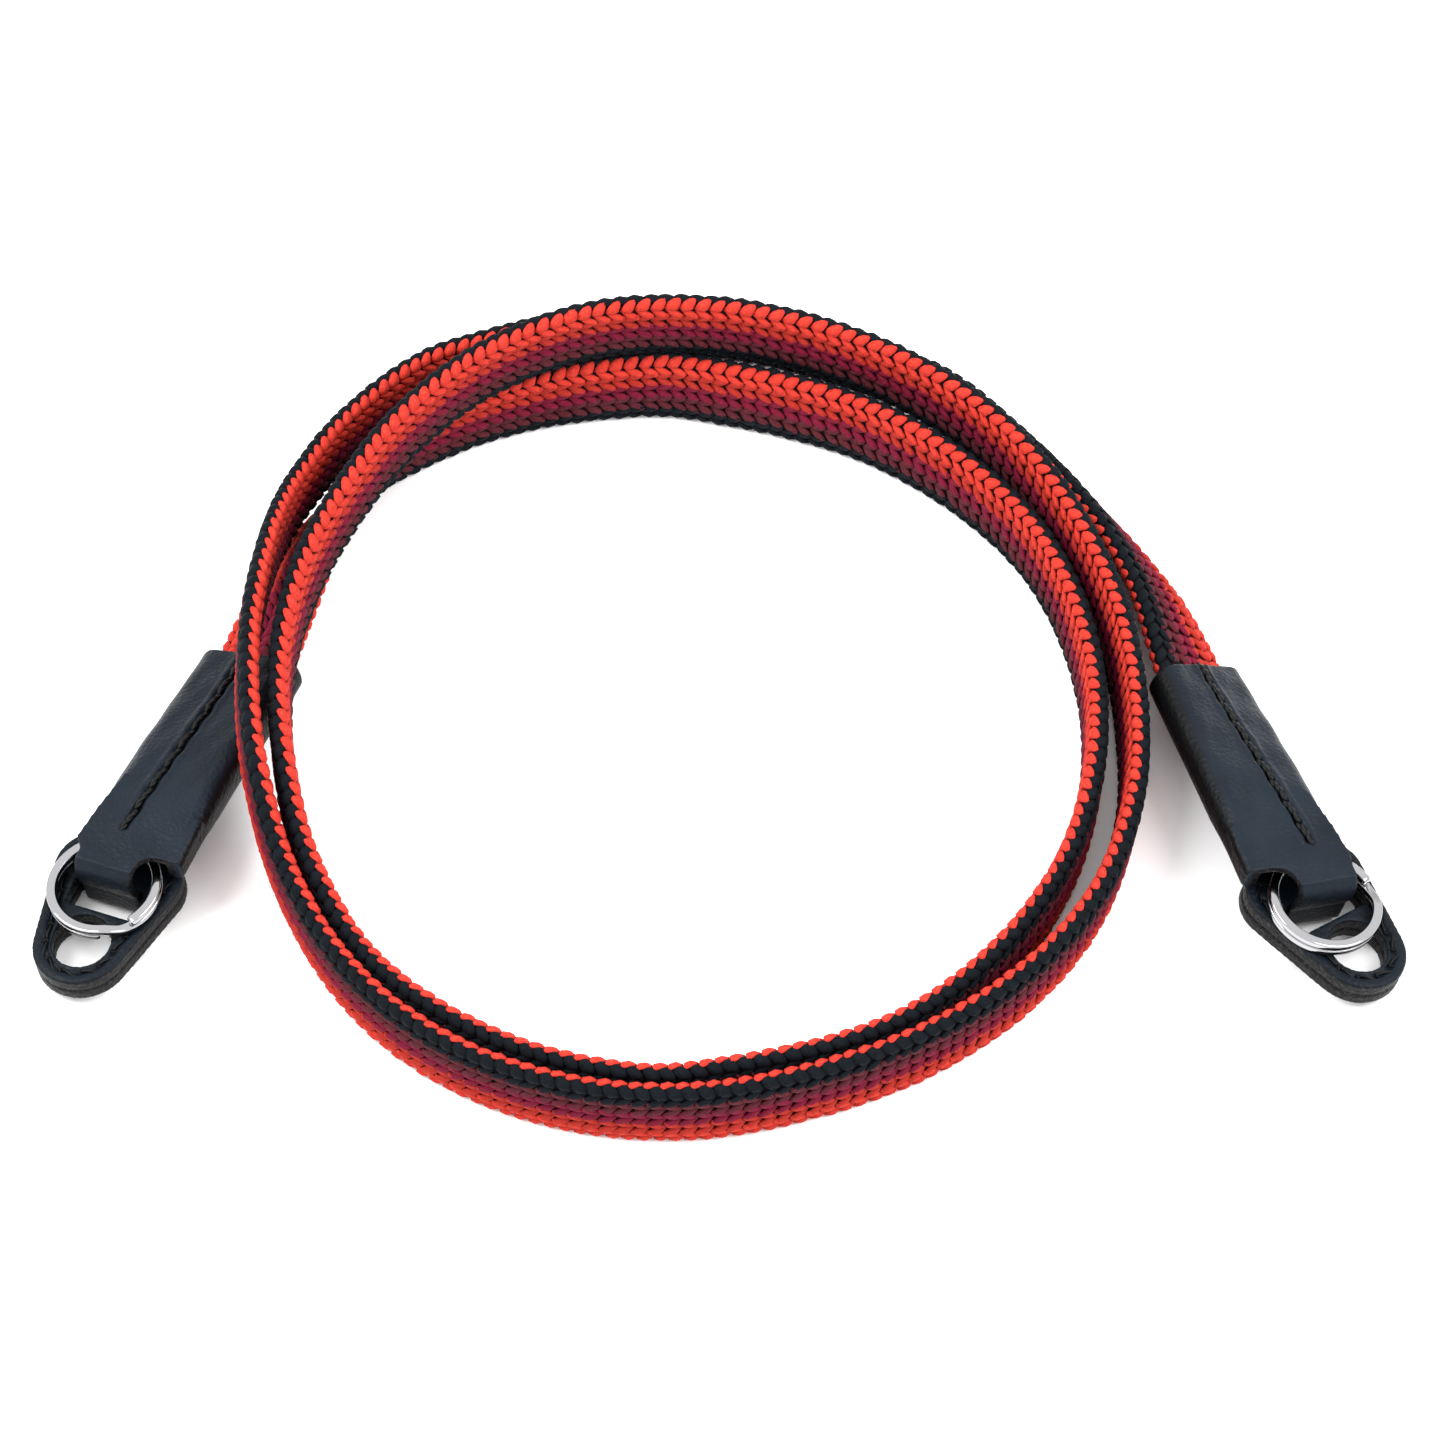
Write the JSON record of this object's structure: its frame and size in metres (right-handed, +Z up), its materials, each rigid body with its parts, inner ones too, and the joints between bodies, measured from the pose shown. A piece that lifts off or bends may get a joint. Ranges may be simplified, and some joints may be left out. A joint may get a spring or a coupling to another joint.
{
  "type": "coiled camera strap",
  "caption": "Flat braided camera strap lying coiled on its edge, with leather end tabs, swinging split rings and leather protector pads.",
  "frame": {"origin": "bottom centre of the whole object's box, on the surface that the strap lies on", "axes": "+Z up, +X from the left tab to the right tab, +Y from the tabs towards the far side of the coil"},
  "size_m": [0.1804, 0.1314, 0.0233],
  "materials": {
    "braid": "braided cord yarn in bands of red, magenta, maroon and black",
    "tab_leather": "fine grain, satin",
    "ring_metal": "polished nickel",
    "pad_leather": "smooth satin with raw layered edges"
  },
  "bodies": {
    "strap": {"braided_band": "braid", "tab_left": "tab_leather", "tab_right": "tab_leather", "pad_left": "pad_leather", "pad_right": "pad_leather"},
    "ring_left": {"ring_left": "ring_metal"},
    "ring_right": {"ring_right": "ring_metal"}
  },
  "joints": [
    {"name": "ring_left_swing", "type": "hinge", "parent": "strap", "child": "ring_left", "pos_m": [-0.07815, -0.02418, 0.00735], "axis": [-0.9172, 0.3844, -0.1044], "range_deg": [0, 25]},
    {"name": "ring_right_swing", "type": "hinge", "parent": "strap", "child": "ring_right", "pos_m": [0.07711, -0.02669, 0.00774], "axis": [-0.9244, -0.3199, 0.2077], "range_deg": [0, 25]}
  ]
}
